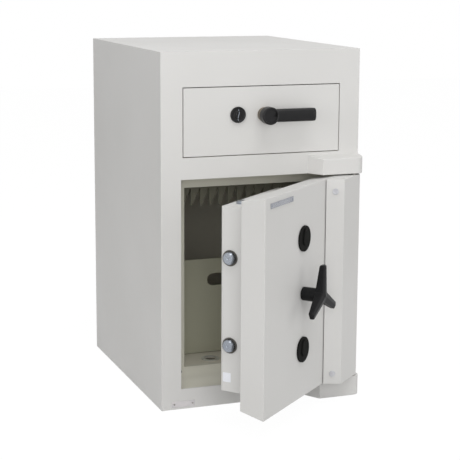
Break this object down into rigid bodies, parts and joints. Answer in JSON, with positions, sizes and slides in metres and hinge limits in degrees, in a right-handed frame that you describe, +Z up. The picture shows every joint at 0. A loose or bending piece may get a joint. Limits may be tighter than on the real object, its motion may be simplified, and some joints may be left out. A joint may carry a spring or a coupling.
{
  "type": "drop safe with deposit drawer",
  "caption": "Upright drop safe: a deposit drawer with a lever above a hinged, bolted door that stands half open on a deep chamber with anti-fishing combs.",
  "frame": {"origin": "middle of the cabinet's underside, on the floor", "axes": "+X to the right seen from the front, -Y out of the front, +Z up"},
  "size_m": [0.5, 0.8813, 0.848],
  "materials": {
    "light_grey_paint": "fine textured, satin",
    "grey_inner_paint": "matt",
    "barrier_concrete": "cast, rough",
    "black_plastic": "satin black",
    "bright_steel": "plated, bright",
    "cap_plastic": "satin",
    "bearing_bronze": "sintered",
    "plain_steel": "plain, lightly oiled"
  },
  "bodies": {
    "cabinet": {"outer_casing": "light_grey_paint", "back_plate": "light_grey_paint", "door_frame": "light_grey_paint", "barrier_fill": "barrier_concrete", "chamber_liner": "grey_inner_paint", "bay_liner": "grey_inner_paint", "drop_chute": "grey_inner_paint", "front_comb": "grey_inner_paint", "rear_comb": "grey_inner_paint", "retaining_panel": "grey_inner_paint", "panel_channel_left": "grey_inner_paint", "panel_channel_right": "grey_inner_paint", "floor_strike_ring": "plain_steel", "upper_hinge_housing": "light_grey_paint", "lower_hinge_housing": "light_grey_paint", "upper_hinge_pin": "plain_steel", "lower_hinge_pin": "plain_steel", "thrust_washer": "bearing_bronze", "rating_plate": "bright_steel", "drawer_rail_left": "plain_steel", "drawer_rail_right": "plain_steel", "drawer_strike": "plain_steel"},
    "door": {"door_skin": "light_grey_paint", "door_fill": "barrier_concrete", "door_back_plate": "light_grey_paint", "bolt_box": "light_grey_paint", "bolt_box_cover": "light_grey_paint", "hinge_cover": "light_grey_paint", "hinge_arm_upper": "plain_steel", "hinge_arm_lower": "plain_steel", "screw_cap_upper": "cap_plastic", "screw_cap_lower": "cap_plastic", "door_nameplate": "bright_steel", "hinge_side_dog_bar": "plain_steel", "lock_case_upper": "plain_steel", "lock_case_lower": "plain_steel", "keyhole_rosette_upper": "black_plastic", "keyhole_rosette_lower": "black_plastic", "side_bolt_bush_upper": "plain_steel", "side_bolt_bush_lower": "plain_steel"},
    "handle": {"star_handle": "black_plastic", "handle_spindle": "plain_steel"},
    "side_boltwork": {"bolt_carriage": "plain_steel", "side_bolt_upper": "bright_steel", "side_bolt_lower": "bright_steel"},
    "top_bolt": {"top_bolt": "bright_steel"},
    "bottom_bolt": {"bottom_bolt": "bright_steel"},
    "upper_keyhole_cover": {"keyhole_cover_upper": "black_plastic"},
    "lower_keyhole_cover": {"keyhole_cover_lower": "black_plastic"},
    "drawer": {"drawer_front": "light_grey_paint", "drawer_tray": "grey_inner_paint", "drawer_runner_left": "plain_steel", "drawer_runner_right": "plain_steel", "lever_collar": "plain_steel", "drawer_lock_barrel": "black_plastic"},
    "drop_flap": {"drop_flap": "grey_inner_paint"},
    "drawer_lever": {"drawer_lever": "black_plastic", "latch_cam": "plain_steel"},
    "drawer_lock": {"drawer_lock_plug": "bright_steel"}
  },
  "joints": [
    {"name": "door_hinge", "type": "hinge", "parent": "cabinet", "child": "door", "pos_m": [0.228, -0.3215, 0], "axis": [0, 0, 1], "range_deg": [-41.6, 78.4]},
    {"name": "handle_turn", "type": "hinge", "parent": "door", "child": "handle", "pos_m": [0.0675, -0.48339, 0.3], "axis": [0.6639, -0.7478, 0], "range_deg": [0, 70]},
    {"name": "side_bolts_slide", "type": "slide", "parent": "door", "child": "side_boltwork", "axis": [-0.7478, -0.6639, 0], "range_m": [0, 0.0381]},
    {"name": "top_bolt_slide", "type": "slide", "parent": "door", "child": "top_bolt", "axis": [0, 0, 1], "range_m": [0, 0.0241]},
    {"name": "bottom_bolt_slide", "type": "slide", "parent": "door", "child": "bottom_bolt", "axis": [0, 0, -1], "range_m": [0, 0.0241]},
    {"name": "upper_keyhole_cover_swing", "type": "hinge", "parent": "door", "child": "upper_keyhole_cover", "pos_m": [0.04426, -0.45721, 0.444], "axis": [-0.6639, 0.7478, 0], "range_deg": [-100, 100]},
    {"name": "lower_keyhole_cover_swing", "type": "hinge", "parent": "door", "child": "lower_keyhole_cover", "pos_m": [0.04426, -0.45721, 0.182], "axis": [-0.6639, 0.7478, 0], "range_deg": [-100, 100]},
    {"name": "drawer_slide", "type": "slide", "parent": "cabinet", "child": "drawer", "axis": [0, -1, 0], "range_m": [0, 0.24]},
    {"name": "drop_flap_tilt", "type": "hinge", "parent": "drawer", "child": "drop_flap", "pos_m": [0.001, -0.14, 0.629], "axis": [1, 0, 0], "range_deg": [0, 30.1]},
    {"name": "drawer_lever_turn", "type": "hinge", "parent": "drawer", "child": "drawer_lever", "pos_m": [0.0045, -0.296, 0.698], "axis": [0, 1, 0], "range_deg": [0, 90]},
    {"name": "drawer_lock_turn", "type": "hinge", "parent": "drawer", "child": "drawer_lock", "pos_m": [-0.0615, -0.296, 0.699], "axis": [0, 1, 0], "range_deg": [0, 90]}
  ],
  "couplings": [
    {"joint": "side_bolts_slide", "follows": "handle_turn", "m_per_rad": 0.031103},
    {"joint": "top_bolt_slide", "follows": "handle_turn", "m_per_rad": 0.019644},
    {"joint": "bottom_bolt_slide", "follows": "handle_turn", "m_per_rad": 0.019644},
    {"joint": "drop_flap_tilt", "follows": "drawer_slide", "rad_per_m": 2.1817}
  ]
}
